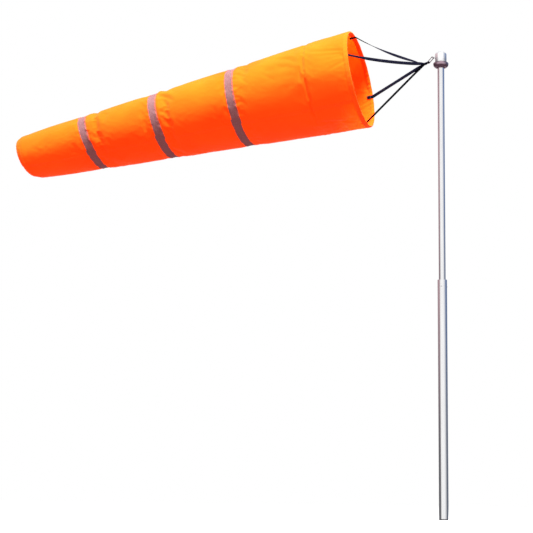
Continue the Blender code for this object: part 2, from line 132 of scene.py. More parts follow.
# ----- the sock's frame
hoop_low, hoop_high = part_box("mouth_hoop")
tail_low, tail_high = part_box("tail_hem")
hem_low, hem_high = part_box("mouth_hem")
hoop_centre = (hoop_low + hoop_high) / 2
AXIS = ((tail_low + tail_high) / 2 - hoop_centre).normalized()
UP = Vector((AXIS.z, 0.0, -AXIS.x))
ACROSS = Vector((0.0, 1.0, 0.0))
MOUTH = hoop_centre - AXIS * HOOP_DEPTH
MOUTH_RADIUS = (hem_high.y - hem_low.y) / 2
HOOP_RADIUS = (hoop_high.y - hoop_low.y) / 2 - 0.0015
HEM_ROLL = MOUTH_RADIUS - HOOP_RADIUS       # radius of the hem's roll round the hoop
TAPER = (MOUTH_RADIUS - (tail_high.y - tail_low.y) / 2) / (SOCK_LENGTH - TAIL_HEM)
BASIS = np.array((UP, ACROSS, AXIS))
GATHER = MOUTH - AXIS * STRAP_REACH


def along_sock(node):
    """How far along the sock's axis the middle of a node lies."""
    low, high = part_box(node)
    return ((low + high) / 2 - MOUTH).dot(AXIS)


BANDS = [along_sock(f"reflective_band_{number}") for number in (1, 2, 3)]
LENGTHS = [HEM_DEPTH, *BANDS, SOCK_LENGTH - TAIL_HEM]       # where the lengths of cloth meet


# ----- mesh tools
def in_scene(name, data):
    """A new object in the scene."""
    made = bpy.data.objects.new(name, data)
    scene.collection.objects.link(made)
    return made


def place(piece_name, corners, faces, look, uvs=None):
    """An object from arrays of corners and faces, with UVs in metres for each face corner."""
    mesh = bpy.data.meshes.new(piece_name)
    mesh.from_pydata([tuple(c) for c in corners], [], [tuple(int(i) for i in f) for f in faces])
    if uvs is not None:
        layer = mesh.uv_layers.new(name="UVMap")
        layer.data.foreach_set("uv", np.asarray(uvs, np.float32).ravel())
    mesh.validate(clean_customdata=False)
    mesh.materials.append(look)
    mesh.shade_smooth()
    mesh.set_sharp_from_angle(angle=radians(50))
    return in_scene(piece_name, mesh)


def unit(vectors):
    """Each vector of an array brought to length 1."""
    return vectors / np.maximum(np.linalg.norm(vectors, axis=-1, keepdims=True), 1e-12)


def directions(path):
    """The unit tangents of an open path."""
    return unit(np.gradient(path, axis=0))


def square_to(tangent, side):
    """side made square to the tangents, at length 1."""
    return unit(side - tangent * (side * tangent).sum(1, keepdims=True))


def reached(path):
    """The distance along a path at each of its points."""
    return np.concatenate([[0], np.cumsum(np.linalg.norm(np.diff(path, axis=0), axis=1))])


def surface_normals(rows, wrap):
    """Unit normals of a grid of points, which point away from the sock's axis."""
    down = np.gradient(rows, axis=0)
    if wrap:
        round_ = np.roll(rows, -1, axis=1) - np.roll(rows, 1, axis=1)
    else:
        round_ = np.gradient(rows, axis=1)
    return unit(np.cross(round_, down))


def shell(name, rows, thickness, look, uv, wrap=True):
    """A closed thin shell: its outer face is a grid of points, its inner one lies below it."""
    inner = rows - surface_normals(rows, wrap) * thickness
    count, width = rows.shape[:2]
    spans = width if wrap else width - 1
    corners = np.concatenate([rows.reshape(-1, 3), inner.reshape(-1, 3)])
    faces, uvs = [], []

    def corner(layer, row, column):
        return layer * count * width + row * width + column % width

    def add(*points):
        faces.append([corner(*point) for point in points])
        for _, row, column in points:
            uvs.append(uv(row, column))

    for row in range(count - 1):
        for column in range(spans):
            nearer, further = (row, column), (row + 1, column)
            add((0, *nearer), (0, row, column + 1), (0, row + 1, column + 1), (0, *further))
            add((1, *nearer), (1, *further), (1, row + 1, column + 1), (1, row, column + 1))
    end = count - 1
    for column in range(spans):
        add((0, 0, column), (1, 0, column), (1, 0, column + 1), (0, 0, column + 1))
        add((0, end, column), (0, end, column + 1), (1, end, column + 1), (1, end, column))
    if not wrap:
        end = width - 1
        for row in range(count - 1):
            add((0, row, 0), (0, row + 1, 0), (1, row + 1, 0), (1, row, 0))
            add((0, row, end), (1, row, end), (1, row + 1, end), (0, row + 1, end))
    return place(name, corners, faces, look, uvs)


def turned(name, profile, look, steps=96):
    """Turns a closed profile of (radius, height) once round the pole's axis."""
    shape = bmesh.new()
    corners = [shape.verts.new((r, 0.0, z)) for r, z in profile]
    edges = [
        shape.edges.new((a, b))
        for a, b in zip(corners, corners[1:] + corners[:1])
        if a.co.x > 1e-9 or b.co.x > 1e-9
    ]
    bmesh.ops.spin(
        shape, geom=corners + edges, cent=(0, 0, 0), axis=(0, 0, 1),
        angle=2 * pi, steps=steps, use_merge=True,
    )
    bmesh.ops.remove_doubles(shape, verts=shape.verts, dist=1e-6)
    bmesh.ops.recalc_face_normals(shape, faces=shape.faces)
    mesh = bpy.data.meshes.new(name)
    shape.to_mesh(mesh)
    shape.free()
    mesh.materials.append(look)
    mesh.shade_smooth()
    mesh.set_sharp_from_angle(angle=radians(32))
    return in_scene(name, mesh)


def rounded(corners, radius, steps=5):
    """A profile whose corners are rounded off: (r, z) points, in order."""
    out = []
    for index, (r, z) in enumerate(corners):
        here = Vector((r, z))
        before = Vector(corners[index - 1]) - here
        after = Vector(corners[(index + 1) % len(corners)]) - here
        if r < 1e-9 or before.length < 2.2 * radius or after.length < 2.2 * radius:
            out.append((r, z))
            continue
        start = here + before.normalized() * radius
        end = here + after.normalized() * radius
        for step in range(steps + 1):
            t = step / steps
            point = start * (1 - t) ** 2 + here * 2 * t * (1 - t) + end * t ** 2
            out.append((point.x, point.y))
    return out


def swept(name, path, side, over, outline, look, sizes=None):
    """Sweeps a closed outline of (side, over) points along a path; gives one closed mesh."""
    outline = np.asarray(outline, float)
    sizes = np.ones((len(path), 2)) if sizes is None else np.asarray(sizes, float)
    width = len(outline)
    rings = (
        path[:, None]
        + side[:, None] * (outline[None, :, :1] * sizes[:, None, :1])
        + over[:, None] * (outline[None, :, 1:] * sizes[:, None, 1:])
    )
    reach = reached(path)
    girth = reached(np.concatenate([outline, outline[:1]]))
    faces, uvs = [], []
    for row in range(len(path) - 1):
        here, there = reach[row], reach[row + 1]
        for column in range(width):
            a, b = row * width + column, row * width + (column + 1) % width
            faces.append((a, b, b + width, a + width))
            uvs += [
                (girth[column], here), (girth[column + 1], here),
                (girth[column + 1], there), (girth[column], there),
            ]
    for row, order in ((0, range(width - 1, -1, -1)), (len(path) - 1, range(width))):
        faces.append([row * width + column for column in order])
        uvs += [tuple(outline[column]) for column in order]
    return place(name, rings.reshape(-1, 3), faces, look, uvs)


def circle(radius, sides):
    """The outline of a round wire."""
    return [
        (radius * cos(2 * pi * i / sides), radius * sin(2 * pi * i / sides))
        for i in range(sides)
    ]


def webbing_outline(width, thickness, steps=4):
    """A flat strip with rounded edges."""
    half, bend = width / 2 - thickness / 2, thickness / 2
    points = []
    for centre, start in ((half, -90), (-half, 90)):
        for step in range(steps + 1):
            turn = radians(start + 180 * step / steps)
            points.append((centre + bend * cos(turn), bend * sin(turn)))
    return points


def catmull(before, start, end, after, share):
    """A Catmull-Rom curve from start to end."""
    return 0.5 * (
        2 * start + (end - before) * share
        + (2 * before - 5 * start + 4 * end - after) * share ** 2
        + (3 * start - before - 3 * end + after) * share ** 3
    )


def smooth_path(points, count):
    """count points on a Catmull-Rom curve through points."""
    p = np.asarray(points, float)
    p = np.concatenate([2 * p[:1] - p[1:2], p, 2 * p[-1:] - p[-2:-1]])
    t = np.linspace(0, len(points) - 1, count)
    i = np.minimum(t.astype(int), len(points) - 2)
    return catmull(p[i], p[i + 1], p[i + 2], p[i + 3], (t - i)[:, None])


def stitches(name, lines, look):
    """Short threads laid end to end along lines; a line is its points and their normals."""
    ring = np.array([(cos(pi * i / 3), sin(pi * i / 3)) for i in range(6)])
    marks, swell = (0.0, 0.12, 0.5, 0.88, 1.0), (0.35, 0.9, 1.0, 0.9, 0.35)
    corners, faces = [], []
    for points, normals in lines:
        points, normals = np.asarray(points, float), np.asarray(normals, float)
        reach = reached(points)
        for start in np.arange(0.0005, reach[-1] - SEAM_STITCH, STITCH_STEP):
            at = start + SEAM_STITCH * np.array(marks)
            centre = np.stack([np.interp(at, reach, points[:, k]) for k in range(3)], 1)
            normal = np.stack([np.interp(at, reach, normals[:, k]) for k in range(3)], 1)
            run = unit(centre[-1] - centre[0])
            side = unit(np.cross(run, normal[2]))
            over = np.cross(side, run)
            base = len(corners)
            for index, size in enumerate(swell):
                lift = THREAD * (0.2 + 0.5 * size)
                for x, y in ring:
                    corners.append(
                        centre[index] + over * (lift + THREAD * size * y)
                        + side * THREAD * size * x
                    )
            for index in range(len(swell) - 1):
                for k in range(6):
                    a, b = base + index * 6 + k, base + index * 6 + (k + 1) % 6
                    faces.append((a, b, b + 6, a + 6))
            faces.append([base + 5 - k for k in range(6)])
            faces.append([base + (len(swell) - 1) * 6 + k for k in range(6)])
    return place(name, corners, faces, look)


# ----- materials
def new_look(name, colour, roughness, metallic=0.0, **sockets):
    """A Principled material; sockets are set by name, with underscores for spaces."""
    look = bpy.data.materials.new(name)
    look.use_nodes = True
    shader = look.node_tree.nodes["Principled BSDF"]
    shader.inputs["Base Color"].default_value = (*colour, 1.0)
    shader.inputs["Roughness"].default_value = roughness
    shader.inputs["Metallic"].default_value = metallic
    for socket, value in sockets.items():
        shader.inputs[socket.replace("_", " ")].default_value = value
    return look, look.node_tree, shader


def node(tree, kind, **values):
    """A node with its inputs set by name and its other settings by attribute."""
    made = tree.nodes.new("ShaderNode" + kind)
    for key, value in values.items():
        socket = key.replace("_", " ")
        if socket in made.inputs:
            made.inputs[socket].default_value = value
        else:
            setattr(made, key, value)
    return made


def linked(tree, value, made, socket):
    """Links an output to one of a node's inputs."""
    tree.links.new(value, made.inputs[socket])


def scaled(tree, source, size=(1, 1, 1)):
    """Coordinates from a Texture Coordinate output, stretched by size."""
    coordinates = node(tree, "TexCoord")
    mapping = node(tree, "Mapping", Scale=size)
    linked(tree, coordinates.outputs[source], mapping, "Vector")
    return mapping.outputs["Vector"]


def noise(tree, vector, scale, detail=3.0, roughness=0.55):
    """Noise at a number of spots to the metre."""
    made = node(tree, "TexNoise", Scale=scale, Detail=detail, Roughness=roughness)
    linked(tree, vector, made, "Vector")
    return made.outputs["Fac"]


def ranged(tree, value, low, high, start=0.3, end=0.7):
    """Maps a value onto a range."""
    made = node(tree, "MapRange")
    for index, number in ((1, start), (2, end), (3, low), (4, high)):
        made.inputs[index].default_value = number
    linked(tree, value, made, 0)
    return made.outputs[0]


def mixed(tree, share, first, second):
    """A colour mix; first and second are sockets or colours."""
    made = node(tree, "Mix", data_type="RGBA")
    for index, value in ((6, first), (7, second)):
        if isinstance(value, bpy.types.NodeSocket):
            linked(tree, value, made, index)
        else:
            made.inputs[index].default_value = (*value, 1.0)
    if isinstance(share, bpy.types.NodeSocket):
        linked(tree, share, made, 0)
    else:
        made.inputs[0].default_value = share
    return made.outputs[2]


def bumped(tree, shader, layers):
    """Chains bumps: layers are (height socket, distance in metres, strength)."""
    normal = None
    for height, distance, strength in layers:
        bump = node(tree, "Bump", Strength=strength, Distance=distance)
        linked(tree, height, bump, "Height")
        if normal is not None:
            linked(tree, normal, bump, "Normal")
        normal = bump.outputs["Normal"]
    linked(tree, normal, shader, "Normal")
    return normal


def threads(tree, period, turn=0.0):
    """A plain weave from the UV map, which is in metres: warp and weft of one period."""
    mapping = scaled(tree, "UV")
    mapping.node.inputs["Rotation"].default_value = (0, 0, turn)
    both = node(tree, "Math", operation="MULTIPLY")
    for index, direction in enumerate("XY"):
        wave = node(tree, "TexWave", bands_direction=direction, Scale=2 * pi / (20 * period))
        linked(tree, mapping, wave, "Vector")
        linked(tree, wave.outputs["Fac"], both, index)
    return both.outputs[0]


def cloth_look(name, colour, deep, painted_glow):
    """Woven fluorescent polyester: weave, crinkle, faded and darker patches, light through it,
    and an even painted glow that brightens it as if more light fell on it.
    """
    look, tree, shader = new_look(
        name, colour, 0.62, Sheen_Weight=0.30, Sheen_Roughness=0.40,
        Sheen_Tint=(1.0, 0.56, 0.16, 1.0), Specular_IOR_Level=0.30,
        Specular_Tint=(1.0, 0.45, 0.06, 1.0),
        # painted glow: this emission lights the cloth evenly, whatever light falls on it
        Emission_Color=(*painted_glow, 1.0), Emission_Strength=0.27,
    )
    around = scaled(tree, "Object")
    patches = ranged(tree, noise(tree, around, 7.0), 0.0, 1.0)
    fine = ranged(tree, noise(tree, around, 160.0, 4.0), 0.0, 0.35)
    faded = mixed(tree, patches, colour, deep)
    weave = threads(tree, 0.0011)
    threaded = mixed(tree, ranged(tree, weave, 0.0, 0.30, 0.0, 1.0), faded, deep)
    linked(tree, mixed(tree, fine, threaded, faded), shader, "Base Color")
    linked(tree, ranged(tree, patches, 0.55, 0.70, 0.0, 1.0), shader, "Roughness")
    crinkle = noise(tree, around, 55.0, 5.0, 0.62)
    normal = bumped(tree, shader, ((crinkle, 0.0012, 0.45), (weave, 0.00012, 0.5)))
    through = node(tree, "BsdfTranslucent", Color=(1.0, 0.32, 0.03, 1.0))
    linked(tree, normal, through, "Normal")
    both = node(tree, "MixShader", Fac=0.38)
    linked(tree, shader.outputs[0], both, 1)
    linked(tree, through.outputs[0], both, 2)
    linked(tree, both.outputs[0], tree.nodes["Material Output"], "Surface")
    return look


def tape_look():
    """Retroreflective tape: pressed cells, fine creases, scuffs at random; its mauve grey tint is
    painted reflection of its surroundings on silver grey tape, and it has a faint painted red
    glow.
    """
    look, tree, shader = new_look(
        "reflective_tape_look", (0.09, 0.05, 0.055), 0.55, Specular_IOR_Level=0.12,
        # painted glow: the tape gives off a faint red light of its own
        Emission_Color=(1.0, 0.17, 0.19, 1.0), Emission_Strength=0.14,
    )
    cells = node(tree, "TexVoronoi", Scale=260.0, feature="DISTANCE_TO_EDGE")
    linked(tree, scaled(tree, "UV"), cells, "Vector")
    edges = ranged(tree, cells.outputs["Distance"], 1.0, 0.0, 0.0, 0.12)
    around = scaled(tree, "Object")
    smudge = ranged(tree, noise(tree, around, 22.0, 4.0), 0.0, 1.0)
    # painted reflection: these mauve greys tint the silver tape with its surroundings; the noise
    # between them is random scuffing
    base = mixed(tree, smudge, (0.078, 0.042, 0.045), (0.054, 0.028, 0.030))
    linked(tree, mixed(tree, edges, base, (0.105, 0.062, 0.066)), shader, "Base Color")
    linked(tree, ranged(tree, smudge, 0.52, 0.68, 0.0, 1.0), shader, "Roughness")
    bumped(tree, shader, (
        (noise(tree, around, 70.0, 4.0), 0.0008, 0.4), (edges, 0.00008, 0.6),
    ))
    return look


def webbing_look():
    """Flat woven webbing: twill ribs across it, painted highlights on the crowns of the threads,
    dust in patches.
    """
    look, tree, shader = new_look(
        "black_webbing_look", (0.004, 0.004, 0.010), 0.75, Sheen_Weight=0.02,
        Sheen_Roughness=0.5, Sheen_Tint=(0.30, 0.40, 0.95, 1.0), Specular_IOR_Level=0.06,
    )
    weave = threads(tree, 0.0013, radians(38))
    around = scaled(tree, "Object")
    dust = ranged(tree, noise(tree, around, 90.0, 4.0), 0.0, 0.6)
    # painted highlight: the crowns of the threads are coloured lighter than the hollows between
    # them
    lit = mixed(tree, weave, (0.0010, 0.0008, 0.0030), (0.0028, 0.0025, 0.0070))
    linked(tree, mixed(tree, dust, lit, (0.0040, 0.0038, 0.0070)), shader, "Base Color")
    linked(tree, ranged(tree, weave, 0.82, 0.62, 0.0, 1.0), shader, "Roughness")
    bumped(tree, shader, ((weave, 0.0003, 0.8),))
    return look


def metal_look(name, light, dark, smooth, rough, metallic=1.0):
    """Metal with streaks along its length, smudges and fine wear."""
    look, tree, shader = new_look(name, light, smooth, metallic)
    drawn = noise(tree, scaled(tree, "Object", (40.0, 40.0, 1.6)), 9.0, 5.0, 0.6)
    smudge = ranged(tree, noise(tree, scaled(tree, "Object"), 26.0, 4.0), 0.0, 1.0)
    shade = mixed(tree, ranged(tree, drawn, 0.0, 0.7), light, dark)
    worn = mixed(tree, ranged(tree, smudge, 0.0, 0.4, 0.0, 1.0), shade, light)
    linked(tree, worn, shader, "Base Color")
    both = node(tree, "Math", operation="MULTIPLY_ADD")
    linked(tree, drawn, both, 0)
    both.inputs[1].default_value = (rough - smooth) * 0.6
    linked(tree, ranged(tree, smudge, smooth, (smooth + rough) / 2, 0.0, 1.0), both, 2)
    linked(tree, both.outputs[0], shader, "Roughness")
    bumped(tree, shader, ((drawn, 0.00002, 0.35),))
    return look


def thread_look(name, light, dark, roughness, **sockets):
    """Thread, lighter and darker from place to place."""
    look, tree, shader = new_look(name, light, roughness, **sockets)
    linked(tree, mixed(tree, noise(tree, scaled(tree, "Object"), 300.0), light, dark),
           shader, "Base Color")
    return look


def plastic_look():
    """Moulded plastic: fine grain, scuffed in places."""
    look, tree, shader = new_look("black_plastic_look", (0.02, 0.02, 0.024), 0.5)
    around = scaled(tree, "Object")
    grain = noise(tree, around, 900.0, 3.0)
    scuffs = ranged(tree, noise(tree, around, 60.0, 4.0), 0.0, 1.0, 0.5, 0.75)
    linked(tree, mixed(tree, scuffs, (0.018, 0.018, 0.022), (0.07, 0.07, 0.075)),
           shader, "Base Color")
    linked(tree, ranged(tree, grain, 0.42, 0.62), shader, "Roughness")
    bumped(tree, shader, ((grain, 0.00006, 0.5),))
    return look


# the last colour of each is a painted glow, given off evenly by the cloth
CLOTH_LOOK = cloth_look("orange_cloth_look", (0.94, 0.105, 0.0045), (0.90, 0.072, 0.0035),
                        (1.0, 0.050, 0.006))
HEM_LOOK = cloth_look("orange_hem_look", (0.94, 0.115, 0.006), (0.90, 0.080, 0.004),
                      (1.0, 0.050, 0.006))
TAPE_LOOK = tape_look()
WEBBING_LOOK = webbing_look()
STEEL_LOOK = metal_look("steel_tube_look", (0.94, 0.94, 0.95), (0.80, 0.80, 0.82), 0.10, 0.24)
CAP_LOOK = metal_look("mirror_cap_look", (0.96, 0.96, 0.97), (0.90, 0.90, 0.92), 0.20, 0.30,
                      metallic=0.92)
# painted reflection: the collar's mauve tint and darkness stand for the orange sock and the dark
# room mirrored in its polished steel
COLLAR_LOOK = metal_look("painted_reflection_collar_look", (0.56, 0.40, 0.47), (0.34, 0.22, 0.28), 0.18, 0.34)
# painted reflection: the link's dark pink tint stands for the orange sock and the dark room
# mirrored in its metal
LINK_LOOK = metal_look("link_wire_painted_reflection_look", (0.22, 0.12, 0.13), (0.14, 0.08, 0.09), 0.30, 0.50)
BEARING_LOOK = metal_look("bearing_steel_look", (0.58, 0.58, 0.60), (0.45, 0.45, 0.47),
                          0.14, 0.28)
PLASTIC_LOOK = plastic_look()
THREAD_LOOK = thread_look("orange_thread_look", (0.82, 0.11, 0.012), (0.62, 0.06, 0.006), 0.7,
                          Specular_IOR_Level=0.2)
DARK_THREAD_LOOK = thread_look("dark_thread_look", (0.05, 0.05, 0.06), (0.015, 0.015, 0.02), 0.6,
                               Sheen_Weight=0.3)


# ----- the sock's surface
def bump_at(value, centre, width):
    """A smooth bump of height 1."""
    return np.exp(-(((value - centre) / width) ** 2))


def all_round(count):
    """A row of angles round the sock."""
    return np.linspace(0, 2 * pi, count, endpoint=False)[None, :]


def angle_from(angle, centre):
    """The difference of two angles, from -pi to pi."""
    return (angle - centre + pi) % (2 * pi) - pi


def cone(along, angle, lift):
    """Points on the sock's plain cone, in sock coordinates (up, across, along)."""
    radius = MOUTH_RADIUS - TAPER * along + lift
    up, across = radius * np.cos(angle), radius * np.sin(angle)
    late = np.clip((along / SOCK_LENGTH - 0.80) / 0.20, 0, 1) ** 2
    lean = np.tan(TAIL_RAKE * (along / SOCK_LENGTH) ** 2) - TAIL_UPRIGHT * late
    blown = TAIL_BULGE * late * np.sqrt(np.clip(-np.sin(angle), 0, 1))
    return np.stack([up, across, along + up * lean + blown], axis=-1)


def billow(along, angle):
    """How far the air and the seams move the cloth in or out."""
    out = np.zeros_like(along * angle)
    for start, end in zip(LENGTHS, LENGTHS[1:]):
        share = np.clip((along - start) / (end - start), 0, 1)
        out += 0.0016 * np.sin(pi * share) ** 0.8 * (along >= start) * (along < end)
    top = bump_at(angle_from(angle, 0.0), 0.0, 1.1)
    for band in BANDS:
        front = band - BAND_WIDTH / 2
        out += 0.0008 * top * bump_at(along, front - 0.016, 0.014)
        out -= 0.0011 * top * bump_at(along, front + 0.002, 0.007)
    return out


def folds(along, angle):
    """Tension folds, creases and puckers, as heights on the cloth."""
    out = np.zeros_like(along * angle)
    # tension lines that fan out from where each strap is sewn
    for _, turn, sag, *_ in STRAPS:
        held = radians(turn)
        pull = 0.0022 if sag else 0.0030
        for fan in (-2, -1, 0, 1, 2):
            away = angle_from(angle, held + fan * (0.05 + 1.15 * along))
            out -= pull * np.exp(-along / 0.085) * bump_at(
                away, 0.0, 0.030 + 0.25 * along) * (1.0 if fan else 1.6)
    # fine gathers on both sides of each tape
    for band in BANDS:
        front = band - BAND_WIDTH / 2
        for count, height, turn in ((46, 0.00045, 0.4), (29, 0.00055, 2.1), (17, 0.0005, 4.0)):
            wave = np.sin(count * angle + turn + 9 * band)
            out += height * wave * np.exp(-np.maximum(front - along, 0) / 0.020) * (
                along < front + 0.004)
            out += 0.7 * height * wave * np.exp(
                -np.maximum(along - front - BAND_WIDTH, 0) / 0.016
            ) * (along > front + BAND_WIDTH - 0.004)
    # the crease where the mouth's length of cloth was folded
    out -= 0.0009 * bump_at(along, 0.128, 0.004) * bump_at(
        angle_from(angle, radians(-75)), 0.0, 0.9)
    # the seam pulls in, and the cloth beside it stands out
    seam = angle_from(angle, SEAM_ANGLE)
    out -= 0.0016 * bump_at(seam, 0.0, 0.055)
    out += 0.0010 * bump_at(seam, 0.16, 0.12)
    # two slanting folds, in front of the first and the second tape
    for middle, turn, slope, depth, reach, width in (
        (BANDS[0] - 0.018, -28, -5.0, 0.0022, 0.030, 0.10),
        (BANDS[1] - 0.010, -38, 7.0, 0.0024, 0.035, 0.12),
    ):
        slant = angle_from(angle, radians(turn) + slope * (along - middle))
        out -= depth * bump_at(along, middle, reach) * bump_at(slant, 0.0, width)
    # slow unevenness everywhere
    slow = np.sin(5 * angle + 14 * along) * np.sin(9.0 * along + 2 * angle)
    out += 0.0005 * slow * np.clip(along / 0.05, 0, 1)
    return out


def tail_turned_in(along):
    """How far the end of the tail curls inwards."""
    late = np.clip((along - 0.980) / (SOCK_LENGTH - 0.980), 0, 1)
    return -0.0042 * late ** 2


def master_surface():
    """The sock's cloth before the wind fills it."""
    along = np.linspace(0, SOCK_LENGTH, ROWS)[:, None]
    angle = all_round(COLUMNS)
    lift = billow(along, angle) + folds(along, angle) + tail_turned_in(along) - 0.0006
    return cone(along + 0 * angle, angle + 0 * along, lift)


def to_world(points):
    """From sock coordinates to the frame's."""
    return np.asarray(MOUTH) + np.asarray(points) @ BASIS


def blown_out(points):
    """The cloth pinned at the hems and tapes, a little too long, filled by the wind."""
    corners = points.reshape(-1, 3)
    faces = []
    for row in range(0, (ROWS - 1) * COLUMNS, COLUMNS):
        for column in range(COLUMNS):
            a, b = row + column, row + (column + 1) % COLUMNS
            faces.append((a, b, b + COLUMNS, a + COLUMNS))
    mesh = bpy.data.meshes.new("wind_cloth")
    mesh.from_pydata([tuple(c) for c in corners], [], faces)
    cloth = in_scene("wind_cloth", mesh)
    held = cloth.vertex_groups.new(name="held")
    along = np.linspace(0, SOCK_LENGTH, ROWS)
    pinned = (along <= HEM_DEPTH) | (along >= SOCK_LENGTH - TAIL_HEM)
    for band in BANDS:
        pinned |= abs(along - band) <= BAND_WIDTH / 2 - 0.001
    held.add([int(row) * COLUMNS + column for row in np.flatnonzero(pinned)
              for column in range(COLUMNS)], 1.0, "REPLACE")
    wind = cloth.modifiers.new("wind", "CLOTH")
    fabric = wind.settings
    fabric.vertex_group_mass = "held"
    fabric.quality = 6
    fabric.mass = 0.1
    fabric.air_damping = 2.0
    fabric.tension_stiffness = fabric.compression_stiffness = 12.0
    fabric.shear_stiffness = 6.0
    fabric.bending_stiffness = 0.02
    fabric.use_pressure = True
    fabric.uniform_pressure_force = WIND_PRESSURE
    fabric.shrink_min = -CLOTH_SPARE
    fabric.effector_weights.gravity = 0.0
    wind.collision_settings.use_collision = False
    wind.point_cache.frame_end = WIND_FRAMES
    for number in range(1, WIND_FRAMES + 1):
        scene.frame_set(number)
    moved = cloth.evaluated_get(bpy.context.evaluated_depsgraph_get()).to_mesh()
    filled = np.empty(len(corners) * 3, np.float32)
    moved.vertices.foreach_get("co", filled)
    bpy.data.objects.remove(cloth)
    scene.frame_set(1)
    change = filled.reshape(points.shape) - points
    change *= np.interp(along, (0.90, 0.97), (1.0, 0.12))[:, None, None]
    size = np.linalg.norm(change, axis=-1, keepdims=True)
    return points + change * np.minimum(1.0, CLOTH_CAP / np.maximum(size, 1e-9))


surface = blown_out(to_world(master_surface()))


def on_sock(along, angle):
    """Points of the master surface at arrays of distance along and angle round the sock."""
    along, angle = np.broadcast_arrays(np.asarray(along, float), np.asarray(angle, float))
    row = np.clip(along / SOCK_LENGTH * (ROWS - 1), 0, ROWS - 1 - 1e-9)
    column = (angle / (2 * pi) * COLUMNS) % COLUMNS
    i, j = row.astype(int), column.astype(int)
    down, round_ = (row - i)[..., None], (column - j)[..., None]

    def crossed(k):
        k = np.clip(k, 0, ROWS - 1)
        at = [surface[k, (j + step) % COLUMNS] for step in (-1, 0, 1, 2)]
        return catmull(*at, round_)

    return catmull(crossed(i - 1), crossed(i), crossed(i + 1), crossed(i + 2), down)


def strip(start, end, rows, columns, first=0.0, last=2 * pi):
    """A grid of points on the sock; a full turn wraps, so its last column is left out."""
    whole = abs(last - first - 2 * pi) < 1e-6
    along = np.linspace(start, end, rows)[:, None]
    angle = np.linspace(first, last, columns, endpoint=not whole)[None, :]
    return on_sock(along, angle)


# ----- cloth of the sock
BODIES = ("mouth", "middle", "rear", "tail")


def dressed(piece, body, slot_name, *replaced):
    """Puts a piece on the body that it rides on and hides the CAD nodes that it stands for;
    slot_name, what it is made of, is not used.
    """
    if body:
        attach(piece, body)
    if replaced:
        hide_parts(*replaced)
    return piece


def radius_at(along):
    """The radius of the plain cone."""
    return MOUTH_RADIUS - TAPER * along


def bend(piece, number):
    """Puts the first length on the mouth's body; any other has its transform baked into its mesh
    and rides on no body.
    """
    if number == 1:
        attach(piece, "mouth")
        return
    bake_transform(piece)


for number in (1, 2, 3, 4):
    start = LENGTHS[number - 1] - (0.002 if number == 1 else 0.0)
    end = LENGTHS[number] + (0.002 if number == 4 else 0.0)
    rows = int(round((end - start) / 0.004)) + 1
    step = (end - start) / (rows - 1)
    width = 2 * pi / CLOTH_COLUMNS * radius_at((start + end) / 2)
    cloth = shell(
        f"sock_cloth_{number}", strip(start, end, rows, CLOTH_COLUMNS), CLOTH, CLOTH_LOOK,
        lambda row, column: (column * width, start + row * step),
    )
    dressed(cloth, None, "orange_fabric", f"sock_panel_{number}")
    bend(cloth, number)


def polar(along, angle, radius):
    """World points at a radius from the sock's axis, for arrays that broadcast."""
    up, across = radius * np.cos(angle), radius * np.sin(angle)
    return to_world(np.stack(np.broadcast_arrays(up, across, along), axis=-1))


# ----- hems
def mouth_hem():
    """The cloth rolled round the hoop, turned in and sewn down, with small puckers."""
    columns = 288
    angle = all_round(columns)
    outline = [(MOUTH_RADIUS + 0.0001, HEM_DEPTH + 0.0006), (MOUTH_RADIUS + 0.0002, 0.0075),
               (MOUTH_RADIUS + 0.0001, 0.0045)]
    roll = HEM_ROLL + 0.0001
    for turn in np.linspace(0, pi, 9):
        outline.append((HOOP_RADIUS + roll * cos(turn), HOOP_DEPTH - roll * sin(turn)))
    outline += [(HOOP_RADIUS - HEM_ROLL, 0.0050), (MOUTH_RADIUS - 0.0044, 0.0085),
                (MOUTH_RADIUS - 0.0022, HEM_DEPTH + 0.0006)]
    profile = np.array(outline)
    share = np.linspace(0, 1, len(profile))[:, None]
    inner = np.clip((share - 0.45) / 0.3, 0, 1)
    pucker = 0.00030 * np.sin(67 * angle + 1.3) + 0.00022 * np.sin(41 * angle + 0.4)
    slack = 0.00035 * np.sin(11 * angle + 2.0)
    radius = profile[:, :1] + pucker * (0.5 + 0.9 * inner) + slack * inner
    depth = profile[:, 1:] + 0.0002 * np.sin(23 * angle) * (1 - inner)
    return shell(
        "mouth_hem_roll", polar(depth, angle, radius), CLOTH, HEM_LOOK,
        lambda row, column: (column * 2 * pi / columns * MOUTH_RADIUS, row * 0.002),
    )


def tail_hem():
    """A double fold of the cloth at the tail's edge."""
    rows = strip(SOCK_LENGTH - TAIL_HEM, SOCK_LENGTH - 0.0004, 7, CLOTH_COLUMNS)
    normal = surface_normals(rows, True)
    angle = all_round(CLOTH_COLUMNS)
    lift = 0.0005 + 0.00025 * np.sin(37 * angle) * np.linspace(0.2, 1, 7)[:, None]
    return shell(
        "tail_hem_fold", rows + normal * lift[..., None], 0.0014, HEM_LOOK,
        lambda row, column: (column * 2 * pi / CLOTH_COLUMNS * 0.066, row * 0.002),
    )


dressed(mouth_hem(), "mouth", "orange_fabric", "mouth_hem")
dressed(tail_hem(), "tail", "orange_fabric", "tail_hem")


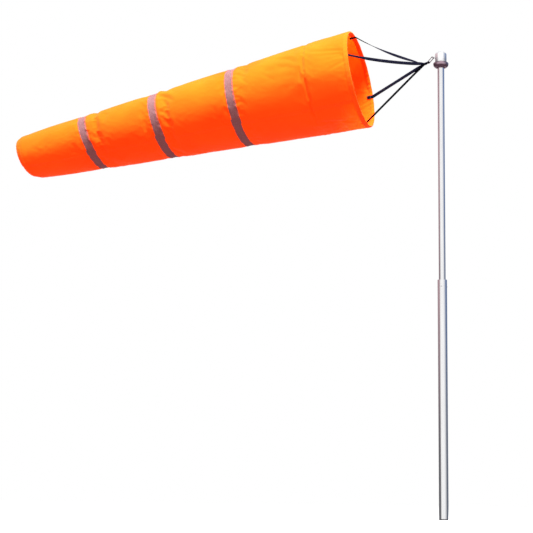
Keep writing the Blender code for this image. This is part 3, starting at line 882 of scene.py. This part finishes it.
# ----- reflective tapes
def tape(number):
    """Tape round the sock, whose ends lap low on the near side."""
    middle = BANDS[number - 1]
    columns = 241
    first, last = SEAM_ANGLE, SEAM_ANGLE + 2 * pi + TAPE_LAP
    along = np.linspace(middle - BAND_WIDTH / 2, middle + BAND_WIDTH / 2, 9)[:, None]
    angle = np.linspace(first, last, columns)[None, :]
    skew = 0.0030 * (angle - first) / (2 * pi) - 0.0015
    rows = on_sock(along + skew, angle)
    lapped = np.clip((angle - (last - TAPE_LAP - 0.03)) / 0.03, 0, 1)
    lift = 0.0003 + TAPE * 1.6 * lapped
    rows = rows + surface_normals(rows, False) * lift[..., None]
    return shell(
        f"reflective_tape_{number}", rows, TAPE, TAPE_LOOK,
        lambda row, column: (column * (last - first) / columns * radius_at(middle),
                             row * BAND_WIDTH / 8), wrap=False,
    )


for number in (1, 2, 3):
    dressed(tape(number), BODIES[number - 1], "reflective_tape", f"reflective_band_{number}")


# ----- seams and stitching
def round_line(along, lift, count=400):
    """A stitching line round the sock, with its normals."""
    angle = np.linspace(0, 2 * pi, count)
    near = np.stack([on_sock(along + step, angle) for step in (-0.001, 0.0, 0.001)])
    normal = surface_normals(near, False)[1]
    return near[1] + normal * lift, normal


def seam_line(start, end, angle, lift):
    """A stitching line along the sock, with its normals."""
    along = np.linspace(start, end, 80)
    near = np.stack([on_sock(along, angle + step) for step in (-0.004, 0.0, 0.004)], axis=1)
    normal = surface_normals(near, False)[:, 1]
    return near[:, 1] + normal * lift, normal


for number in (1, 2, 3, 4):
    low = LENGTHS[number - 1] + (BAND_WIDTH / 2 if number > 1 else 0.001)
    high = LENGTHS[number] - (BAND_WIDTH / 2 if number < 4 else 0.0)
    half = SEAM_HALF / radius_at((low + high) / 2)
    rows = strip(low, high, int((high - low) / 0.004), 7, SEAM_ANGLE - half, SEAM_ANGLE + half)
    height = 0.0005 * np.array([0.3, 0.9, 1.0, 1.0, 1.0, 0.9, 0.3])
    rows = rows + surface_normals(rows, False) * height[None, :, None]
    felled = shell(
        f"felled_seam_{number}", rows, 0.0006, HEM_LOOK,
        lambda row, column: (column * 0.0015, row * 0.004), wrap=False,
    )
    bend(dressed(felled, None, "orange_fabric"), number)
    sewn = stitches(f"seam_stitching_{number}", [
        seam_line(low + 0.001, high - 0.001, SEAM_ANGLE + side * half * 0.6, 0.0005)
        for side in (-1, 1)
    ], THREAD_LOOK)
    bend(dressed(sewn, None, "orange_fabric"), number)
    if number < 4:
        middle = BANDS[number - 1]
        dressed(stitches(f"tape_stitching_{number}", [
            round_line(middle + side * (BAND_WIDTH / 2 - 0.0018), 0.0005) for side in (-1, 1)
        ], THREAD_LOOK), BODIES[number - 1], "orange_fabric")

turn = np.linspace(0, 2 * pi, 500)
level = MOUTH_RADIUS + 0.0003
out = polar(0.0, turn, 1.0) - polar(0.0, turn, 0.0)
dressed(stitches("mouth_stitching", [
    (polar(0.0078, turn, level), out), (polar(0.0060, turn, level), out),
], THREAD_LOOK), "mouth", "orange_fabric")
dressed(stitches("tail_stitching", [
    round_line(SOCK_LENGTH - TAIL_HEM + 0.0018, 0.0006),
    round_line(SOCK_LENGTH - TAIL_HEM + 0.0040, 0.0006),
], THREAD_LOOK), "tail", "orange_fabric")


# ----- the webbing harness
eye_low, eye_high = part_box("tether_eye")
LINK_TOP = Vector((eye_low.x + WIRE, 0.0, (eye_low.z + eye_high.z) / 2))
LINK_DOWN = Vector((-cos(LINK_AIM), 0.0, -sin(LINK_AIM)))
LINK_OVER = Vector((-sin(LINK_AIM), 0.0, cos(LINK_AIM)))
LINK_END = LINK_TOP + LINK_DOWN * (LINK_FIRST + LINK_SPAN)
BUNCH = (GATHER - LINK_END).normalized()
BUNCH_OVER = Vector((BUNCH.z, 0.0, -BUNCH.x))


def harness_strap(order, turn, sag, twist, centre, width):
    """One strap: round the link's bend, through the bunch, down to the mouth, sewn inside."""
    radial = (UP * cos(turn) + ACROSS * sin(turn)).normalized()
    sideways = (ACROSS * cos(turn) - UP * sin(turn)).normalized()
    inner = HOOP_RADIUS - HEM_ROLL - STRAP_THICKNESS / 2 - 0.0004
    rim = MOUTH + radial * inner - AXIS * 0.0012
    layer = (-1.5, -0.5, 0.5, 1.5)[order] * (STRAP_THICKNESS + 0.0001)
    outside = ACROSS * (1.0 if order in (1, 2) else -1.0)
    spread = 0.0011 * (order % 2)
    start = LINK_END + BUNCH * 0.0005 + outside * (0.0019 + spread)
    knot = GATHER - BUNCH * 0.0030 + outside * (0.0008 + spread) + BUNCH_OVER * layer * 0.35
    leave = GATHER + AXIS * 0.010 + radial * 0.0062
    points = [start, start.lerp(knot, 0.5), knot, leave]
    for step in range(1, 13):
        share = step / 12
        points.append(leave.lerp(rim, share) - SKY * sag * 4 * share * (1 - share))
    points += [MOUTH + radial * inner + AXIS * 0.004,
               MOUTH + radial * (inner - 0.0002) + AXIS * STRAP_SEWN]
    path = smooth_path([tuple(p) for p in points], STRAP_STEPS)
    tangent = directions(path)
    share = np.linspace(0, 1, STRAP_STEPS)
    calm = np.clip((share - 0.10) / 0.16, 0, 1)
    calm = (calm * calm * (3 - 2 * calm))[:, None]
    bunched = np.array(BUNCH_OVER) * (-1 if BUNCH_OVER.dot(sideways) < 0 else 1)
    side = square_to(tangent, bunched * (1 - calm) + np.array(sideways) * calm)
    over = np.cross(tangent, side)
    twist = radians(twist) * bump_at(share, centre, width) * np.clip((0.97 - share) / 0.05, 0, 1)
    twist = twist[:, None] * (1 if order % 2 else -1)
    side, over = (side * np.cos(twist) + over * np.sin(twist),
                  over * np.cos(twist) - side * np.sin(twist))
    piece = swept(
        f"harness_strap_{STRAPS[order][0]}", path, side, over,
        webbing_outline(STRAP_WIDTH, STRAP_THICKNESS), WEBBING_LOOK,
        sizes=np.concatenate([0.36 + 0.64 * calm, 1.5 - 0.5 * calm], axis=1),
    )
    base = MOUTH + radial * (inner - STRAP_THICKNESS / 2 - 0.0001)
    lines = [
        [base + sideways * across + AXIS * d for d in (0.0045, 0.010, STRAP_SEWN - 0.001)]
        for across in (-0.0034, 0.0034)
    ] + [
        [base + AXIS * depth + sideways * d for d in (-0.0042, 0.0, 0.0042)]
        for depth in (0.0055, STRAP_SEWN - 0.002)
    ]
    return piece, [([tuple(p) for p in line], [-np.array(radial)] * 3) for line in lines]


box_lines = []
for order, (strap_name, turn, *shape) in enumerate(STRAPS):
    strap, lines = harness_strap(order, radians(turn), *shape)
    dressed(strap, "mouth", "black_webbing", "strap_" + strap_name)
    box_lines += lines
dressed(stitches("strap_stitching", box_lines, DARK_THREAD_LOOK), "mouth", "black_webbing")


def wound_wrap():
    """Thread wound round the bunch of straps, just above where they part."""
    turns, reach, radius = 7, 0.0056, 0.0033
    share = np.linspace(0, 1, turns * 20 + 1)[:, None]
    turn = 2 * pi * turns * share
    across, over = np.array(ACROSS) * np.cos(turn), np.array(BUNCH_OVER) * np.sin(turn)
    path = (np.array(GATHER - BUNCH * 0.0068) + np.array(BUNCH) * (share * reach)
            + across * radius * 1.1 + over * radius * 0.9)
    tangent = directions(path)
    outward = square_to(tangent, across + over)
    return swept("harness_wrap", path, np.cross(tangent, outward), outward,
                 circle(0.00046, 8), WEBBING_LOOK)


def loop_back():
    """The webbing's bend round the link, open towards the bunch."""
    radius = 0.0024
    points = [LINK_END + BUNCH * 0.006 - ACROSS * 0.0021]
    for turn in np.linspace(-pi / 2, pi / 2, 24):
        points.append(LINK_END - BUNCH * radius * cos(turn) + ACROSS * radius * sin(turn))
    points.append(LINK_END + BUNCH * 0.006 + ACROSS * 0.0021)
    path = smooth_path([tuple(p) for p in points], 40)
    tangent = directions(path)
    side = square_to(tangent, np.array(LINK_OVER))
    return swept("harness_loop", path, side, np.cross(tangent, side),
                 webbing_outline(0.0034, STRAP_THICKNESS), WEBBING_LOOK)


dressed(wound_wrap(), "mouth", "black_webbing")
dressed(loop_back(), "mouth", "black_webbing", "strap_gather")


# ----- the mast and the head
def round_box(node_name):
    """Radius, bottom and top of a node that is turned about the pole."""
    low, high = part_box(node_name)
    return (high.x - low.x) / 2, low.z, high.z


radius, bottom, top = round_box("foot_plug")
dressed(turned("pole_foot_plug", rounded([
    (0.0, 0.0), (radius, 0.0), (radius, 0.0025), (radius - 0.0018, 0.0025),
    (radius - 0.0018, 0.020), (radius - 0.0038, 0.022), (0.0, 0.022),
], 0.0005), PLASTIC_LOOK), "lower_mast", "black_plastic", "foot_plug")
for stage, wall in (("lower", 0.0015), ("upper", 0.0010)):
    radius, bottom, top = round_box(stage + "_tube")
    bore = radius - wall
    dressed(turned(f"pole_{stage}_tube", rounded(
        [(bore, bottom), (radius, bottom), (radius, top), (bore, top)], TUBE_EDGE,
    ), STEEL_LOOK, 112), stage + "_mast", "stainless_tube", stage + "_tube")

radius, bottom, top = round_box("mast_collar")
dressed(turned("pole_collar", [(r, bottom + z) for r, z in (
    (0.0093, 0.0038), (0.0101, 0.0026), (0.0110, 0.0016), (0.0120, 0.0008), (0.0130, 0.0003),
    (0.0139, 0.00005), (0.0148, 0.0), (0.0160, 0.0004), (0.0170, 0.0010), (0.0181, 0.0021),
    (0.0190, 0.0034), (0.0196, 0.0047), (0.0201, 0.0062), (0.0205, 0.0085), (0.0205, 0.0100),
)] + [(r, top - z) for r, z in (
    (0.0199, 0.0018), (0.0193, 0.0010), (0.0185, 0.0004), (0.0172, 0.0),
    (0.0043, 0.0), (0.0043, 0.0052), (0.0093, 0.0052),
)], COLLAR_LOOK), "upper_mast", "dark_collar", "mast_collar")

radius, bottom, top = round_box("head_cap")
shoulder = top - 0.0075
dome = []
for step in range(1, 15):
    t = radians(90 * step / 15)
    dome.append((radius * cos(t) ** 0.75, shoulder + (top - shoulder) * sin(t)))
dressed(turned("head_cap_shell", [
    (0.0112, bottom), (radius - 0.0006, bottom), (radius - 0.0002, bottom + 0.0002),
    (radius, bottom + 0.0006), (radius, shoulder), *dome, (0.0, top),
    (0.0, top - 0.0086), (0.0094, top - 0.0086), (0.0094, bottom + 0.0124),
    (0.0112, bottom + 0.0124),
], CAP_LOOK, 128), "rotor", "polished_cap", "head_cap")


def bent_wire(name, points, normal, wire, look, sizes=None):
    """A round wire along a path in the plane that is square to normal."""
    path = np.array([tuple(p) for p in points])
    side = np.repeat(np.array(normal)[None], len(path), axis=0)
    return swept(name, path, side, np.cross(directions(path), side), circle(wire, 16), look,
                 sizes=sizes)


def arc(first, last):
    """Sines and cosines from one angle in degrees to another, in steps of 15."""
    step = 15 if last > first else -15
    return [(sin(radians(a)), cos(radians(a))) for a in range(first, last + step, step)]


eye_half = (eye_high.y - eye_low.y) / 2 - WIRE
root = 0.0005 - radius
bar = [(root, eye_half)]
for side, turns in ((1, arc(90, 0)), (-1, arc(0, 90))):
    bar += [(LINK_TOP.x + EYE_CORNER * (1 - c), side * (eye_half - EYE_CORNER * (1 - s)))
            for s, c in turns]
bar.append((root, -eye_half))
dressed(bent_wire("tether_eye_wire", [(x, y, LINK_TOP.z) for x, y in bar], SKY, WIRE, CAP_LOOK),
        "rotor", "polished_cap", "tether_eye")

opening = GATE_HALF + 0.0005
centre = LINK_FIRST + LINK_SPAN / 2
ring = [(centre - opening, LINK_BEND)]
for first, turns in ((LINK_FIRST, arc(0, 180)), (LINK_FIRST + LINK_SPAN, arc(180, 360))):
    ring += [(first - LINK_BEND * s, LINK_BEND * c) for s, c in turns]
ring.append((centre + opening, LINK_BEND))
dressed(bent_wire("snap_link_wire", [LINK_TOP + LINK_DOWN * x + LINK_OVER * z for x, z in ring],
                  ACROSS, WIRE, LINK_LOOK), "link", "link_metal", "snap_link")
gate = [LINK_TOP + LINK_DOWN * (centre + x) + LINK_OVER * LINK_BEND
        for x in np.linspace(-GATE_HALF, GATE_HALF, 9)]
dressed(bent_wire("link_gate_wire", gate, ACROSS, GATE_WIRE, LINK_LOOK,
                  sizes=[(size, size) for size in (0.7, *(1.0,) * 7, 0.7)]),
        "gate", "link_metal", "link_gate")

for look, names in (
    (PLASTIC_LOOK, ("guide_bush", "slide_collar")),
    (BEARING_LOOK, (
        "lock_screw_front", "lock_screw_side", "head_spindle", "bearing_spacer",
        "bearing_inner_race", "bearing_ball_cage", "bearing_outer_race", "bearing_circlip",
        "spindle_washer", "spindle_nut", "mouth_hoop",
    )),
):
    for name in names:
        frame["nodes"][name].data.materials.clear()
        frame["nodes"][name].data.materials.append(look)


# ----- floor, light and camera
for piece in scene.objects:
    if piece.name.startswith(("sock_cloth", "mouth_", "tail_", "felled_", "seam_", "tape_")):
        piece.visible_glossy = False    # so the polished metal doesn't mirror the sock
floor_mesh = bpy.data.meshes.new("floor")
half = FLOOR_SIZE / 2
floor_mesh.from_pydata(
    [(-half, -half, 0), (half, -half, 0), (half, half, 0), (-half, half, 0)], [], [(0, 1, 2, 3)],
)
floor = in_scene("floor", floor_mesh)
floor.location.z = -0.0004              # just clear of the foot plug
floor.visible_diffuse = floor.visible_glossy = False
floor_mesh.materials.append(new_look(
    "floor_look", (0.30, 0.30, 0.30), 0.9, Specular_IOR_Level=0.0,
    Emission_Color=(1.0, 1.0, 1.0, 1.0), Emission_Strength=0.85,
)[0])

light = bpy.data.lights.new("softbox_above", "AREA")
light.size = SOFTBOX_SIZE
light.energy = SOFTBOX_POWER
softbox = in_scene("softbox_above", light)
softbox.location = SOFTBOX_PLACE
softbox.rotation_mode = "QUATERNION"
softbox.rotation_quaternion = (SOFTBOX_AIM - SOFTBOX_PLACE).to_track_quat("-Z", "Y")
softbox.visible_glossy = False

# What the metal mirrors is a bright room with dark edges to the left and right; the cloth is lit
# by an even pale room, and the camera sees white.
world = bpy.data.worlds.new("studio")
scene.world = world
world.use_nodes = True
wt = world.node_tree
right = Vector((cos(CAMERA_YAW), sin(CAMERA_YAW), 0.0))
toward = Vector((sin(CAMERA_YAW), -cos(CAMERA_YAW), 0.0))
direction = node(wt, "TexCoord")


def facing(vector, low, high):
    """0 to 1 as a direction turns towards a vector, between two cosines."""
    dot = node(wt, "VectorMath", operation="DOT_PRODUCT")
    linked(wt, direction.outputs["Generated"], dot, 0)
    dot.inputs[1].default_value = tuple(vector)
    return ranged(wt, dot.outputs["Value"], 0.0, 1.0, low, high)


high_up = facing(SKY, 0.02, 0.24)
left_dark = mixed(wt, high_up, (0.12, 0.12, 0.13), (0.50, 0.33, 0.36))
right_dark = mixed(wt, high_up, (0.13, 0.15, 0.19), (0.13, 0.20, 0.38))
left_room = mixed(wt, facing(toward, 0.20, 0.60), left_dark, (1.0, 1.0, 0.99))
right_room = mixed(wt, facing(toward, 0.15, 0.95), right_dark, (1.0, 1.0, 1.0))
mirror = mixed(wt, facing(right, -0.06, 0.06), left_room, right_room)
level_room = mixed(wt, facing(-toward, 0.86, 0.97), mirror, (0.95, 0.95, 0.95))
mirror = mixed(wt, facing(SKY, 0.10, 0.24), level_room, mirror)
mirror = mixed(wt, facing(SKY, 0.45, 0.70), mirror, (0.26, 0.27, 0.29))
mirror = mixed(wt, facing(toward * 0.6 + SKY * 0.8, 0.80, 0.93), mirror, (1.0, 1.0, 1.0))
mirror = mixed(wt, facing(-SKY, 0.15, 0.45), mirror, (0.16, 0.11, 0.13))
path_kind = node(wt, "LightPath")
room = mixed(wt, path_kind.outputs["Is Glossy Ray"], (0.80, 0.78, 0.76), mirror)
shown = mixed(wt, path_kind.outputs["Is Camera Ray"], room, (1.0, 1.0, 1.0))
linked(wt, shown, wt.nodes["Background"], "Color")

camera_data = bpy.data.cameras.new("camera")
camera_data.lens = CAMERA_LENS
camera_data.sensor_width = 36.0
camera = in_scene("camera", camera_data)
forward = Vector((
    -sin(CAMERA_YAW) * cos(CAMERA_PITCH), cos(CAMERA_YAW) * cos(CAMERA_PITCH),
    sin(CAMERA_PITCH),
))
level = right.cross(forward)
tilted = right * cos(CAMERA_ROLL) + level * sin(CAMERA_ROLL)
upright = level * cos(CAMERA_ROLL) - right * sin(CAMERA_ROLL)
camera.matrix_world = Matrix.Translation(CAMERA_PLACE) @ Matrix(
    (tilted, upright, -forward)
).transposed().to_4x4()
scene.camera = camera
scene.view_settings.view_transform = "Standard"
